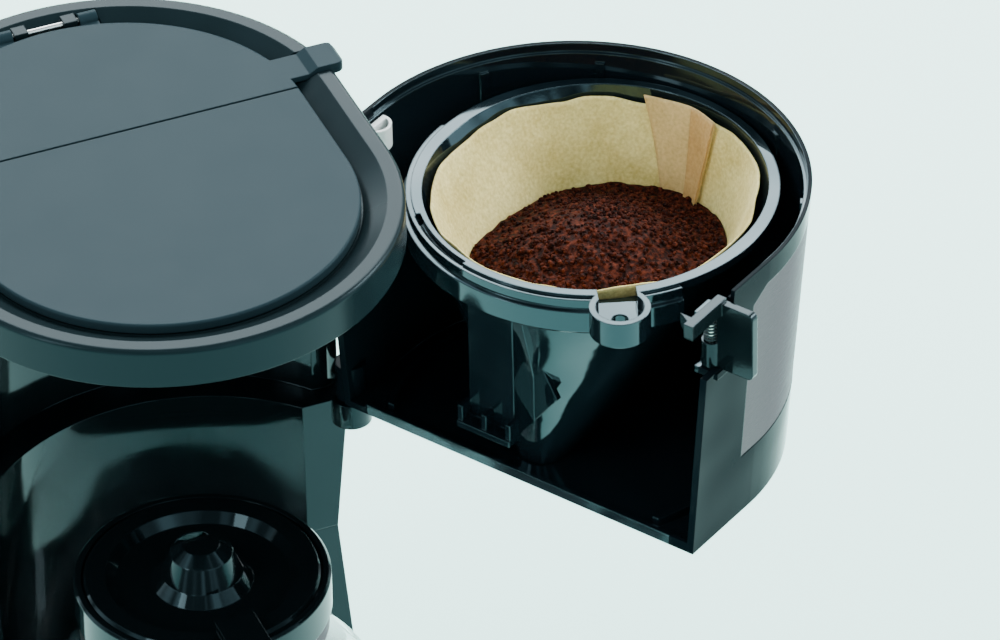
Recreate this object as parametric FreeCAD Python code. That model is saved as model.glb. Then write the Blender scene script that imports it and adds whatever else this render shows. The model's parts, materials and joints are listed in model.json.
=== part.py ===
import FreeCAD, Part
import math
import os

# Drip coffee maker with a swing-out filter holder, a glass carafe and a lift-up tank lid.
# Millimetres, +Z up, front towards -Y. The origin is on the sole of the middle foot, below
# the middle of the top cap. The filter holder is drawn closed and then swung open.

V = FreeCAD.Vector
UP = V(0, 0, 1)

# --- Driving dimensions ---------------------------------------------------------------
WALL = 2.5                 # moulded wall
GAP = 0.4                  # room between parts that only sit beside each other
RUN = 0.06                 # radial room of a running fit

CAP_R = 75.0               # end radius of the top cap, half its width
CAP_HALF = 20.0            # half of its straight length
CAP_TOP = 281.0
CAP_SKIRT = 13.2
RING_WIDTH = 5.5           # flat rim of the cap
CHANNEL_WIDTH = 7.6        # sloped channel inside the rim
CHANNEL_DEPTH = 4.0
PANEL_GAP = 0.5
PANEL_THICK = 3.0
LID_SPLIT_Y = 21.0         # front edge of the tank lid

TOWER_R = 68.0             # end radius of the tower under the cap
WAIST_R = 63.0             # at the seam
FOOT_TOWER_R = 70.0        # where it stands on the base
SEAM_Z = 118.0
TOWER_FRONT_Y = 4.5        # front faces of the two pillars
UPPER_FRONT_Y = 12.0       # front faces beside the closed filter holder
NICHE_R = 70.0             # hollow for the carafe

BASE_TOP = 36.0
BASE_R = 78.0
BASE_FRONT_Y = -45.0       # centre of the base's front arc
FOOT_H = 3.0
FOOT_R = 8.0
PLATE_R = 60.0
PLATE_TOP = 41.0

HOLDER_R = 74.7            # outer radius of the filter holder at its top
HOLDER_TAPER = 7.4         # how much smaller it is at its floor
HOLDER_TOP = 267.1
HOLDER_FLOOR = 169.5
HOLDER_Y = -20.9           # centre of its front arc
HOLDER_OPEN_Y = 10.4       # its open side
HINGE_X = 69.1
HINGE_Y = 4.6
SWING_OPEN = 121.7         # degrees
PIN_R = 2.0
KNUCKLE_R = 5.0
HINGE_ROOM = 9.0           # radius kept free round the swing hinge

RIM_TOP = 257.0
RIM_R = 57.5
BASKET_Y = -34.0
BASKET_WALL = 2.0
CONE_TOP_R = 53.5
CONE_BOTTOM = 181.0
CONE_HALF = 30.0           # half length of the cone's bottom line
CONE_TOP_HALF = 2.5        # the same under the rim, where it is nearly round
CONE_FOOT_R = 8.0
BAND_R = 60.5
BAND_DEPTH = 13.5
LUG_ANGLE = 132.0
LUG_REACH = 63.6
LUG_R = 9.5
PAPER = 0.8
STEM_R = 2.2
BACK_NICHE_R = LUG_REACH + LUG_R + 1.5     # hollow behind the closed filter holder

CARAFE_Y = -42.0
CARAFE_R = 62.0
CARAFE_NECK_R = 38.0
CARAFE_TOP = 147.0
GLASS = 2.2
COLLAR_R = 40.5
COLLAR_TOP = 153.0
HANDLE_WIDTH = 20.0

# --- Shared shapes --------------------------------------------------------------------
def stadium_wire(radius, half, y, z):
    """Two half circles of one radius, joined by straight sides along Y."""
    front, back = y - half, y + half
    sides = [Part.LineSegment(V(radius, front, z), V(radius, back, z)),
             Part.Arc(V(radius, back, z), V(0, back + radius, z), V(-radius, back, z)),
             Part.LineSegment(V(-radius, back, z), V(-radius, front, z)),
             Part.Arc(V(-radius, front, z), V(0, front - radius, z), V(radius, front, z))]
    return Part.Wire([side.toShape() for side in sides])


def stadium(radius, half, y, z0, z1):
    return Part.Face(stadium_wire(radius, half, y, z0)).extrude(V(0, 0, z1 - z0))


def tapered(radius0, radius1, half, y, z0, z1):
    """A stadium that changes radius with height."""
    return Part.makeLoft([stadium_wire(radius0, half, y, z0),
                          stadium_wire(radius1, half, y, z1)], True, True)


def cylinder(radius, x, y, z0, z1):
    return Part.makeCylinder(radius, z1 - z0, V(x, y, z0))


def rod(radius, start, end):
    start, end = V(*start), V(*end)
    return Part.makeCylinder(radius, (end - start).Length, start, end - start)


def box(x0, x1, y0, y1, z0, z1):
    return Part.makeBox(x1 - x0, y1 - y0, z1 - z0, V(x0, y0, z0))


def ring(outer, inner, x, y, z0, z1):
    return cylinder(outer, x, y, z0, z1).cut(cylinder(inner, x, y, z0 - 1, z1 + 1))


def outline(points, depth_vector):
    """A straight-sided plate from its corner points."""
    corners = [V(*p) for p in points]
    return Part.Face(Part.makePolygon(corners + corners[:1])).extrude(V(*depth_vector))


def turned(profile, x, y, angle=360.0):
    """A (radius, height) profile turned about the vertical axis through x, y."""
    corners = [V(x + r, y, z) for r, z in profile]
    face = Part.Face(Part.makePolygon(corners + corners[:1]))
    return face.revolve(V(x, y, 0), UP, angle)


def tube(points, outer, inner, bend):
    """A hose through its corner points, with round bends."""
    pts = [V(*p) for p in points]
    edges = []
    here = pts[0]
    for before, corner, after in zip(pts, pts[1:], pts[2:]):
        into, out = (corner - before).normalize(), (after - corner).normalize()
        half_turn = into.getAngle(out) / 2
        back = bend * math.tan(half_turn)
        start, end = corner - into * back, corner + out * back
        middle = corner + (out - into).normalize() * (bend / math.cos(half_turn) - bend)
        edges += [Part.LineSegment(here, start).toShape(), Part.Arc(start, middle, end).toShape()]
        here = end
    edges.append(Part.LineSegment(here, pts[-1]).toShape())
    path = Part.Wire(edges)
    along = (pts[1] - pts[0]).normalize()
    skins = []
    for radius in (outer, inner) if inner else (outer,):
        circle = Part.Wire([Part.Circle(pts[0], along, radius).toShape()])
        skins.append(path.makePipeShell([circle], True, False))
    return skins[0].cut(skins[1]) if inner else skins[0]


def coil(x, y, z0, z1, radius, wire, turns):
    """A compression spring with its axis upright."""
    helix = Part.makeHelix((z1 - z0 - 2 * wire) / turns, z1 - z0 - 2 * wire, radius)
    helix.translate(V(x, y, z0 + wire))
    section = Part.Wire([Part.Circle(V(x + radius, y, z0 + wire), V(0, 1, 0), wire).toShape()])
    return Part.Wire(helix.Edges).makePipeShell([section], True, True)


def screw(x, y, z, length, head_r=3.4, shank_r=1.5, down=True):
    """A pan-head screw; z is the underside of its head and it points down or up."""
    sign = -1 if down else 1
    head = cylinder(head_r, x, y, min(z, z - sign * 2.2), max(z, z - sign * 2.2))
    shank = cylinder(shank_r, x, y, min(z, z + sign * length), max(z, z + sign * length))
    slot = box(x - head_r, x + head_r, y - 0.5, y + 0.5, z - sign * 2.2 - 0.7, z - sign * 2.2 + 0.7)
    return head.fuse(shank).cut(slot)


def joined(shapes):
    first, rest = shapes[0], shapes[1:]
    return first.fuse(rest).removeSplitter() if rest else first


def tower_body(r0, r1, z0, z1, inset=0.0, drop=0.0, upper=False):
    """The tower's outline as a solid: a round back, two front faces and the round niche."""
    front = (UPPER_FRONT_Y if upper else TOWER_FRONT_Y) + inset
    niche_y = BASKET_Y if upper else CARAFE_Y
    niche_r = (BACK_NICHE_R if upper else NICHE_R) + inset
    body = tapered(r0 - inset, r1 - inset, CAP_HALF, 0, z0 - drop, z1)
    body = body.cut(box(-2 * CAP_R, 2 * CAP_R, -2 * CAP_R, front, z0 - drop - 1, z1 + 1))
    body = body.cut(cylinder(niche_r, 0, niche_y, z0 - drop - 1, z1 + 1))
    if upper:
        body = body.cut(cylinder(HINGE_ROOM + inset, HINGE_X, HINGE_Y, z0 - drop - 1, z1 + 1))
    return body


nodes = {}


def keep(name, *shapes):
    nodes[name] = shapes[0] if len(shapes) == 1 else Part.makeCompound(list(shapes))


holder_nodes = []


def keep_holder(name, *shapes):
    """A piece of the filter holder, drawn closed."""
    holder_nodes.append(name)
    keep(name, *shapes)


# --- Base -----------------------------------------------------------------------------
rear_y = CAP_HALF                                    # centre of every rear arc
base_mid = (rear_y + BASE_FRONT_Y) / 2
base_half = (rear_y - BASE_FRONT_Y) / 2
plate_hole_r = PLATE_R - 4.0
base_bottom = FOOT_H
BOSS_R = 4.5
boss_ring = BASE_R - WALL - BOSS_R + 1.0
boss_spots = []
for centre_y, turn in ((BASE_FRONT_Y, -50.0), (BASE_FRONT_Y, -130.0), (rear_y, 35.0), (rear_y, 145.0)):
    turn = math.radians(turn)
    boss_spots.append((boss_ring * math.cos(turn), centre_y + boss_ring * math.sin(turn)))

base = stadium(BASE_R, base_half, base_mid, base_bottom, BASE_TOP)
base = base.makeFillet(4.0, [e for e in base.Edges if e.BoundBox.ZMin > BASE_TOP - 0.1])
base_in = stadium(BASE_R - WALL, base_half, base_mid, base_bottom - 1, BASE_TOP - WALL)
base = base.cut(base_in)
base = base.cut(cylinder(plate_hole_r, 0, CARAFE_Y, BASE_TOP - 10, BASE_TOP + 1))
base = base.cut(tower_body(FOOT_TOWER_R, WAIST_R, BASE_TOP, SEAM_Z, inset=WALL + GAP, drop=WALL + 1))
cover_z = base_bottom + WALL
screw_hole_r = 1.5
bosses = [cylinder(BOSS_R, x, y, cover_z + GAP, BASE_TOP - WALL + 0.5) for x, y in boss_spots]
base = joined([base] + bosses)
for x, y in boss_spots:
    base = base.cut(cylinder(screw_hole_r, x, y, cover_z, cover_z + 14))

cover = stadium(BASE_R - WALL - GAP, base_half, base_mid, base_bottom, cover_z)
VENT_HALF = 3.0
vents = [box(x - VENT_HALF, x + VENT_HALF, -20, 24, base_bottom - 1, cover_z + 1)
         for x in (-31.0, -19.0, 19.0, 31.0)]
for vent in vents:
    cover = cover.cut(vent)
for x, y in boss_spots:
    cover = cover.cut(cylinder(screw_hole_r, x, y, 0, cover_z + 1))
foot_spots = [(x, y) for y in (BASE_FRONT_Y - 20.0, rear_y + 20.0) for x in (-58.0, 58.0)]
foot_spots.append((0.0, 0.0))
foot_stud_r = 2.5
for x, y in foot_spots:
    cover = cover.cut(cylinder(foot_stud_r, x, y, 0, cover_z + 1))
feet = []
for x, y in foot_spots:
    pad = Part.makeCone(FOOT_R - 1.0, FOOT_R, FOOT_H, V(x, y, 0))
    feet.append(pad.fuse(cylinder(foot_stud_r, x, y, FOOT_H, cover_z + 2)))
bottom_screws = [screw(x, y, base_bottom, 14, down=False) for x, y in boss_spots]


wall_room = WALL + GAP
switch_y = BASE_FRONT_Y - BASE_R
switch_z = (base_bottom + BASE_TOP) / 2
SWITCH_W = 22.0
SWITCH_H = 15.0
BEZEL_RIM = 2.0
switch_half_w = SWITCH_W / 2
switch_half_h = SWITCH_H / 2
base = base.cut(box(-switch_half_w, switch_half_w, switch_y - 1, switch_y + 12,
                    switch_z - switch_half_h, switch_z + switch_half_h))
GLAND_R = 6.0
gland_y = rear_y + BASE_R
base = base.cut(rod(GLAND_R, (0, gland_y - 10, switch_z), (0, gland_y + 1, switch_z)))
keep("base_shell", base)
keep("bottom_cover", cover)
keep("rubber_feet", *feet)
keep("bottom_screws", *bottom_screws)

# Power switch: a bezel clipped into the base's front wall, a rocker on two stubs, a contact body.
rocker_w = SWITCH_W - 2 * BEZEL_RIM - 2 * GAP
rocker_h = SWITCH_H - 2 * BEZEL_RIM - 2 * GAP
bezel_front = switch_y - 1.6
bezel_back = switch_y + 11.0
bezel = box(-switch_half_w - 1.5, switch_half_w + 1.5, bezel_front, switch_y,
            switch_z - switch_half_h - 1.5, switch_z + switch_half_h + 1.5)
bezel = bezel.makeFillet(1.0, [e for e in bezel.Edges if e.BoundBox.YMax < bezel_front + 0.1])
bezel = bezel.fuse(box(-switch_half_w + GAP, switch_half_w - GAP, switch_y - 0.1, bezel_back,
                       switch_z - switch_half_h + GAP, switch_z + switch_half_h - GAP))
bezel = bezel.cut(box(-rocker_w / 2 - GAP, rocker_w / 2 + GAP, bezel_front - 1, bezel_back + 1,
                      switch_z - rocker_h / 2 - GAP, switch_z + rocker_h / 2 + GAP))
rocker_axis_y = switch_y + 4.0
ROCKER_PIN_R = 1.0
bezel = bezel.cut(rod(ROCKER_PIN_R + RUN, (-switch_half_w, rocker_axis_y, switch_z),
                      (switch_half_w, rocker_axis_y, switch_z)))
rocker_face = rocker_axis_y - 7.0
half_h = rocker_h / 2
rocker = outline([(-rocker_w / 2, rocker_face - 1.0, switch_z + half_h),
                  (-rocker_w / 2, rocker_face + 0.6, switch_z),
                  (-rocker_w / 2, rocker_face + 1.4, switch_z - half_h + 0.5),
                  (-rocker_w / 2, rocker_axis_y + 1.2, switch_z - 2.4),
                  (-rocker_w / 2, rocker_axis_y + 1.2, switch_z + 2.4)], (rocker_w, 0, 0))
rocker = rocker.fuse(rod(ROCKER_PIN_R, (-switch_half_w + 1.0, rocker_axis_y, switch_z),
                         (switch_half_w - 1.0, rocker_axis_y, switch_z)))
contact_box = box(-rocker_w / 2 - GAP, rocker_w / 2 + GAP, bezel_back + GAP, bezel_back + 10,
                  switch_z - 6, switch_z + 6)
blades = [box(-6 + 6 * i - 0.4, -6 + 6 * i + 0.4, bezel_back + 9, bezel_back + 16,
              switch_z - 2.4, switch_z + 2.4) for i in range(3)]
keep("switch_bezel", bezel)
keep("power_rocker", rocker)
keep("switch_body", joined([contact_box] + blades))

CORD_HOLE_R = 3.5
gland = rod(GLAND_R - 0.05, (0, gland_y - 9, switch_z), (0, gland_y + 1, switch_z))
gland = gland.fuse(rod(GLAND_R + 2.0, (0, gland_y + 0.1, switch_z), (0, gland_y + 2.5, switch_z)))
gland = gland.cut(rod(CORD_HOLE_R, (0, gland_y - 10, switch_z), (0, gland_y + 4, switch_z)))
keep("cord_gland", gland)

# --- Warming plate and heater ---------------------------------------------------------
PLATE_THICK = 1.2
SEAL_THICK = 1.5
seal_top = BASE_TOP + SEAL_THICK
plate_under = PLATE_TOP - PLATE_THICK
plate = turned([(0, plate_under), (PLATE_R - PLATE_THICK, plate_under), (PLATE_R - PLATE_THICK, seal_top),
                (PLATE_R, seal_top), (PLATE_R, PLATE_TOP - 1.2), (PLATE_R - 1.2, PLATE_TOP),
                (0, PLATE_TOP)], 0, CARAFE_Y)
keep("warming_plate", plate)
keep("plate_seal", ring(PLATE_R + 1.5, plate_hole_r, 0, CARAFE_Y, BASE_TOP, seal_top))

HEATER_R = 38.0
CAST_HALF = 6.0
CAST_H = 8.0
WATER_R = 4.0              # outside of the heater's water tube
WATER_BORE = 2.8
HEATER_GAP = 70.0          # degrees left open at the back
cast_under = plate_under - CAST_H
water_z = cast_under - WATER_R - 1.0
heater_start = 90.0 + HEATER_GAP / 2
end_angle = math.radians(heater_start)
spread = HEATER_R * abs(math.cos(end_angle))
stub_from = CARAFE_Y + HEATER_R * math.sin(end_angle)
STUB_END = 6.0


def around_heater(face):
    face.rotate(V(0, CARAFE_Y, 0), UP, heater_start)
    return face.revolve(V(0, CARAFE_Y, 0), UP, 360.0 - HEATER_GAP)


def heater_ring(radius):
    circle = Part.Circle(V(HEATER_R, CARAFE_Y, water_z), V(0, 1, 0), radius).toShape()
    return around_heater(Part.Face(Part.Wire([circle])))


cast_corners = [(HEATER_R - CAST_HALF, cast_under), (HEATER_R + CAST_HALF, cast_under),
                (HEATER_R + CAST_HALF, plate_under), (HEATER_R - CAST_HALF, plate_under)]
cast_points = [V(r, CARAFE_Y, z) for r, z in cast_corners]
casting = around_heater(Part.Face(Part.makePolygon(cast_points + cast_points[:1])))
web_points = [V(HEATER_R + dx, CARAFE_Y, z) for dx, z in
              ((-2, water_z), (2, water_z), (2, cast_under + 0.5), (-2, cast_under + 0.5))]
web = around_heater(Part.Face(Part.makePolygon(web_points + web_points[:1])))
stubs = [rod(WATER_R, (x, stub_from, water_z), (x, STUB_END, water_z)) for x in (-spread, spread)]
heater = joined([casting, web, heater_ring(WATER_R)] + stubs)
heater = heater.cut(heater_ring(WATER_BORE))
for x in (-spread, spread):
    heater = heater.cut(rod(WATER_BORE, (x, stub_from, water_z), (x, STUB_END + 1, water_z)))
keep("heating_element", heater)

BRACKET_HALF = 24.0
strip_top = cast_under - GAP
bracket = box(-BRACKET_HALF, BRACKET_HALF, CARAFE_Y - 6, CARAFE_Y + 6, strip_top - 1.5, strip_top)
posts = [cylinder(3.0, x, CARAFE_Y, strip_top - 1, plate_under) for x in (-18.0, 18.0)]
keep("heater_bracket", joined([bracket] + posts))
thermostat_top = strip_top - 1.5
thermostat = cylinder(8.0, 0, CARAFE_Y, thermostat_top - 7, thermostat_top)
tags = [box(x - 0.4, x + 0.4, CARAFE_Y - 3, CARAFE_Y + 3, thermostat_top - 12, thermostat_top - 6)
        for x in (-4.0, 4.0)]
keep("thermostat", joined([thermostat] + tags))
fuses = [rod(1.6, (x, CARAFE_Y - 8, thermostat_top - 1.7), (x, CARAFE_Y + 8, thermostat_top - 1.7))
         for x in (-14.0, 14.0)]
keep("thermal_fuses", *fuses)

# --- Tower ----------------------------------------------------------------------------
step_z = HOLDER_FLOOR - 0.7                          # shoulder under the filter holder
cap_under = CAP_TOP - CAP_SKIRT
tower_foot = tower_body(FOOT_TOWER_R, WAIST_R, BASE_TOP, SEAM_Z)
tower_foot = tower_foot.cut(tower_body(FOOT_TOWER_R, WAIST_R, BASE_TOP, SEAM_Z, inset=WALL))
keep("tower_foot", tower_foot)

lower = tower_body(WAIST_R, TOWER_R, SEAM_Z, step_z)
lower_in = tower_body(WAIST_R, TOWER_R, SEAM_Z, step_z, inset=WALL)
shoulder = tower_body(TOWER_R, TOWER_R, step_z - WALL, step_z)
upper = tower_body(TOWER_R, TOWER_R, step_z - 1, cap_under, upper=True)
upper_in = tower_body(TOWER_R, TOWER_R, step_z - WALL - 1, cap_under, inset=WALL, upper=True)
PIN_BOSS_R = 6.5
pin_boss = cylinder(PIN_BOSS_R, HINGE_X, HINGE_Y, step_z - 9, step_z)
CAP_SCREW_R = 1.5
CAP_BOSS_R = 3.2
cap_screw_ring = TOWER_R - WALL - CAP_BOSS_R + 0.4
cap_screw_spots = []
for turn in (40.0, 140.0):
    turn = math.radians(turn)
    cap_screw_spots.append((cap_screw_ring * math.cos(turn), CAP_HALF + cap_screw_ring * math.sin(turn)))
tower = joined([lower.cut(lower_in), shoulder, upper, pin_boss])
tower = tower.cut(upper_in)
tower = joined([tower] + [cylinder(CAP_BOSS_R, x, y, cap_under - 22, cap_under) for x, y in cap_screw_spots])
for x, y in cap_screw_spots:
    tower = tower.cut(cylinder(CAP_SCREW_R, x, y, cap_under - 14, cap_under + 1))
hook_room = box(-TOWER_R - 4, -TOWER_R + 8, UPPER_FRONT_Y - 1, UPPER_FRONT_Y + 9, RIM_TOP + 2.4, cap_under + 1)
tower = tower.cut(hook_room)
lower_pin_from = step_z - 7
tower = tower.cut(cylinder(PIN_R, HINGE_X, HINGE_Y, lower_pin_from, step_z + 1))
window_box = box(-CAP_R, -CAP_R / 2, 44.0, 54.0, step_z + 10, cap_under - 14)
pane = tower_body(TOWER_R, TOWER_R, step_z, cap_under, upper=True).cut(
    tower_body(TOWER_R, TOWER_R, step_z, cap_under, inset=WALL, upper=True))
pane = pane.common(box(-CAP_R, -CAP_R / 2, 44.0 + 0.2, 54.0 - 0.2, step_z + 10.2, cap_under - 14.2))
tower = tower.cut(window_box)
keep("gauge_window", pane)
keep("tower_housing", tower)

# --- Water path -----------------------------------------------------------------------
RISER_X = -56.0
RISER_Y = 25.0
RISER_R = 3.6
HOSE_WALL = 1.8
TANK_BOTTOM = 62.0
TANK_TOP = 261.0
TANK_WALL = 1.8
OUTLET_Y = 56.0
hose_r = WATER_R + RUN + HOSE_WALL
tank_room = wall_room + 0.8


def tank_body(inset, z0, z1):
    body = stadium(WAIST_R - tank_room - inset, CAP_HALF, 0, z0, z1)
    body = body.cut(box(-CAP_R, CAP_R, -2 * CAP_R, UPPER_FRONT_Y + tank_room + inset, z0 - 1, z1 + 1))
    body = body.cut(cylinder(BACK_NICHE_R + tank_room + inset, 0, BASKET_Y, z0 - 1, z1 + 1))
    body = body.cut(cylinder(HINGE_ROOM + tank_room + inset, HINGE_X, HINGE_Y, z0 - 1, z1 + 1))
    riser_side = RISER_X + hose_r + 1.5 + inset
    body = body.cut(box(-CAP_R, riser_side, -2 * CAP_R, RISER_Y, z0 - 1, z1 + 1))
    return body.cut(cylinder(hose_r + 1.5 + inset, RISER_X, RISER_Y, z0 - 1, z1 + 1))


tank = tank_body(0, TANK_BOTTOM, TANK_TOP).cut(tank_body(TANK_WALL, TANK_BOTTOM + TANK_WALL, TANK_TOP + 1))
spout_low = TANK_BOTTOM - 14
tank = tank.fuse(cylinder(WATER_R, spread, OUTLET_Y, spout_low, TANK_BOTTOM + 0.5))
tank = tank.cut(cylinder(WATER_BORE, spread, OUTLET_Y, spout_low - 1, TANK_BOTTOM + TANK_WALL + 1))
keep("water_tank", tank)
sieve = Part.makeCone(6.0, 3.0, 10.0, V(spread, OUTLET_Y, TANK_BOTTOM + TANK_WALL))
sieve = sieve.cut(Part.makeCone(5.0, 2.0, 9.0, V(spread, OUTLET_Y, TANK_BOTTOM + TANK_WALL)))
for turn in range(4):
    slot = box(-8, 8, -0.6, 0.6, TANK_BOTTOM + TANK_WALL + 2, TANK_BOTTOM + TANK_WALL + 7)
    slot.rotate(V(0, 0, 0), UP, 45.0 * turn)
    slot.translate(V(spread, OUTLET_Y, 0))
    sieve = sieve.cut(slot)
keep("tank_strainer", sieve)
ball_z = spout_low - 3.5
keep("check_valve_ball", Part.makeSphere(WATER_R - 0.6, V(spread, OUTLET_Y, ball_z)))

hose_start = STUB_END - 10
hose_in = WATER_R + RUN
cold_route = [(spread, hose_start, water_z), (spread, OUTLET_Y, water_z), (spread, OUTLET_Y, TANK_BOTTOM - 4)]
keep("cold_hose", tube(cold_route, hose_r, hose_in, 10.0))
riser_from = TANK_BOTTOM - 6
hot_route = [(-spread, hose_start, water_z), (-spread, RISER_Y + 8, water_z),
             (RISER_X, RISER_Y, water_z + 8), (RISER_X, RISER_Y, riser_from + 10)]
keep("hot_hose", tube(hot_route, hose_r, hose_in, 8.0))

arm_top = CAP_TOP - CHANNEL_DEPTH - WALL - GAP
ARM_DEPTH = 5.8
arm_under = arm_top - ARM_DEPTH
arm_mid = (arm_top + arm_under) / 2
keep("riser_tube", ring(RISER_R, RISER_R - 1, RISER_X, RISER_Y, riser_from, arm_mid - 1.2).fuse(
    ring(WATER_R, RISER_R - 1, RISER_X, RISER_Y, riser_from, riser_from + 8)))
CLAMP_H = 5.0
clamps = [ring(hose_r + 0.8, hose_r + 0.02, spread, OUTLET_Y, spout_low + 3, spout_low + 3 + CLAMP_H),
          ring(hose_r + 0.8, hose_r + 0.02, RISER_X, RISER_Y, riser_from + 2, riser_from + 2 + CLAMP_H)]
for x in (-spread, spread):
    clip = rod(hose_r + 0.8, (x, hose_start + 3, water_z), (x, hose_start + 3 + CLAMP_H, water_z))
    clamps.append(clip.cut(rod(hose_r + 0.02, (x, hose_start + 2, water_z), (x, hose_start + 12, water_z))))
keep("hose_clamps", *clamps)

# Spray arm: a flat duct under the cap, from the riser to the shower head over the filter.
HEAD_R = 22.0
arm_corners = [V(RISER_X - 6, RISER_Y + 6, arm_under), V(RISER_X - 6, RISER_Y - 8, arm_under),
               V(-6, BASKET_Y, arm_under), V(6, BASKET_Y + 6, arm_under), V(RISER_X + 8, RISER_Y + 6, arm_under)]
arm_plan = Part.Face(Part.makePolygon(arm_corners + arm_corners[:1]))
arm = arm_plan.extrude(V(0, 0, arm_top - arm_under))
arm_room = arm_plan.makeOffset2D(GAP).extrude(V(0, 0, arm_top - arm_under + GAP))
arm_in = outline([(RISER_X - 4.5, RISER_Y + 4.5, arm_under + 1), (RISER_X - 4.5, RISER_Y - 7, arm_under + 1),
                  (-6, BASKET_Y + 2, arm_under + 1), (5, BASKET_Y + 6, arm_under + 1),
                  (RISER_X + 7, RISER_Y + 4.5, arm_under + 1)], (0, 0, arm_top - arm_under - 2))
head_room = cylinder(HEAD_R + GAP, 0, BASKET_Y, arm_under - 1, arm_top + 1)
arm = arm.cut(arm_in).cut(head_room)
arm = arm.cut(cylinder(RISER_R, RISER_X, RISER_Y, arm_under - 1, arm_mid - 1))
keep("spray_arm", arm)
head = turned([(0, arm_under), (HEAD_R - 2, arm_under), (HEAD_R, arm_under + 1.5), (HEAD_R, arm_top),
               (HEAD_R - 1.2, arm_top), (HEAD_R - 1.2, arm_under + 1.5), (0, arm_under + 1.2)], 0, BASKET_Y)
for count, hole_ring_r in ((6, 7.0), (12, 15.0)):
    for i in range(count):
        angle = 2 * math.pi * i / count
        head = head.cut(cylinder(1.2, hole_ring_r * math.cos(angle),
                                 BASKET_Y + hole_ring_r * math.sin(angle), arm_under - 1, arm_under + 2))
keep("spray_head", head)

# --- Top cap --------------------------------------------------------------------------
channel_r = CAP_R - RING_WIDTH
well_r = channel_r - CHANNEL_WIDTH
well_z = CAP_TOP - CHANNEL_DEPTH
cap_ceiling = well_z - WALL
cap = stadium(CAP_R, CAP_HALF, 0, cap_under, CAP_TOP)
cap = cap.makeFillet(1.6, [e for e in cap.Edges if e.BoundBox.ZMin > CAP_TOP - 0.1])
cap = cap.cut(tapered(well_r, channel_r, CAP_HALF, 0, well_z, CAP_TOP))
cap = cap.cut(stadium(channel_r, CAP_HALF, 0, CAP_TOP, CAP_TOP + 1))
cap = cap.cut(stadium(CAP_R - WALL, CAP_HALF, 0, cap_under - 1, cap_ceiling))
flange = stadium(CAP_R - WALL + 0.1, CAP_HALF, 0, cap_under, cap_under + WALL)
flange = flange.cut(box(-CAP_R, CAP_R, -2 * CAP_R, UPPER_FRONT_Y, cap_under - 1, cap_under + WALL + 1))
flange = flange.cut(tower_body(TOWER_R, TOWER_R, cap_under - 1, cap_under + WALL + 1, inset=WALL, upper=True))
flange = flange.cut(cylinder(BACK_NICHE_R, 0, BASKET_Y, cap_under - 1, cap_under + WALL + 1))
flange = flange.cut(arm_room)
pin_top = cap_under + 6.0
cap_boss = cylinder(PIN_BOSS_R - 1, HINGE_X, HINGE_Y, cap_under, cap_ceiling + 0.1)
cap_boss = cap_boss.common(stadium(CAP_R - 1, CAP_HALF, 0, cap_under, CAP_TOP))
cap_tabs = [cylinder(CAP_BOSS_R + 1, x, y, cap_under, cap_under + WALL) for x, y in cap_screw_spots]
cap = joined([cap, flange, cap_boss] + cap_tabs)
for x, y in cap_screw_spots:
    cap = cap.cut(cylinder(CAP_SCREW_R, x, y, cap_under - 1, cap_under + WALL + 1))
cap = cap.cut(cylinder(PIN_R, HINGE_X, HINGE_Y, cap_under - 1, pin_top))
FILL_FRONT_Y = LID_SPLIT_Y + 6.0
fill = stadium(well_r - 10, CAP_HALF, 0, cap_under - 1, well_z + 1)
fill = fill.cut(box(-CAP_R, CAP_R, -2 * CAP_R, FILL_FRONT_Y + 12, cap_under - 2, CAP_TOP))
cap = cap.cut(fill)
LID_PIN_R = 1.0
LID_AXIS_Y = CAP_HALF + well_r + 2.4
LID_AXIS_Z = CAP_TOP - 1.4
KNUCKLE_SIDE = 2.4
lid_ears = []
for x0 in (-10.6, 6.0):
    ear = box(x0, x0 + 4.6, LID_AXIS_Y - KNUCKLE_SIDE + 0.4, LID_AXIS_Y + 2.6, well_z - 1, LID_AXIS_Z + 1.6)
    lid_ears.append(ear)
for x0 in (-18.0, 10.9):
    cap = cap.cut(rod(3.0, (x0, LID_AXIS_Y, LID_AXIS_Z), (x0 + 7.1, LID_AXIS_Y, LID_AXIS_Z)))
    cap = cap.cut(box(x0, x0 + 7.1, CAP_HALF + well_r - 4, LID_AXIS_Y, well_z + 0.02, CAP_TOP + 1))
cap = joined([cap] + lid_ears)
cap = cap.cut(rod(LID_PIN_R, (-17.6, LID_AXIS_Y, LID_AXIS_Z), (17.6, LID_AXIS_Y, LID_AXIS_Z)))

TAB_Y0 = 26.0
TAB_Y1 = 38.0
TAB_REACH = 4.0            # how far the tab stands out past the cap
tab_seat = box(well_r - 1, CAP_R + 10, TAB_Y0 - 0.6, TAB_Y1 + 0.6, CAP_TOP - 2.6, CAP_TOP + 1)
cap = cap.cut(tab_seat)
keep("top_cap", cap)

panel_r = well_r - PANEL_GAP
panel_top = CAP_TOP - 0.3
panel_low = panel_top - PANEL_THICK


def panel_body(y0, y1):
    """The part of the rounded inner panel between two lines across the cap."""
    whole = stadium(panel_r, CAP_HALF, 0, panel_low, panel_top)
    whole = whole.makeFillet(0.8, [e for e in whole.Edges if e.BoundBox.ZMin > panel_top - 0.05])
    return whole.common(box(-CAP_R, CAP_R, y0, y1, panel_low - 1, panel_top + 1))


split = GAP
front_panel = panel_body(-2 * CAP_R, LID_SPLIT_Y - split)
snaps = [box(x - 4, x + 4, y - 3, y + 3, well_z + 0.05, panel_low + 1.0)
         for x, y in ((-30, -50), (30, -50), (-40, 10), (40, 10))]
keep("front_panel", joined([front_panel] + snaps))

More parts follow.
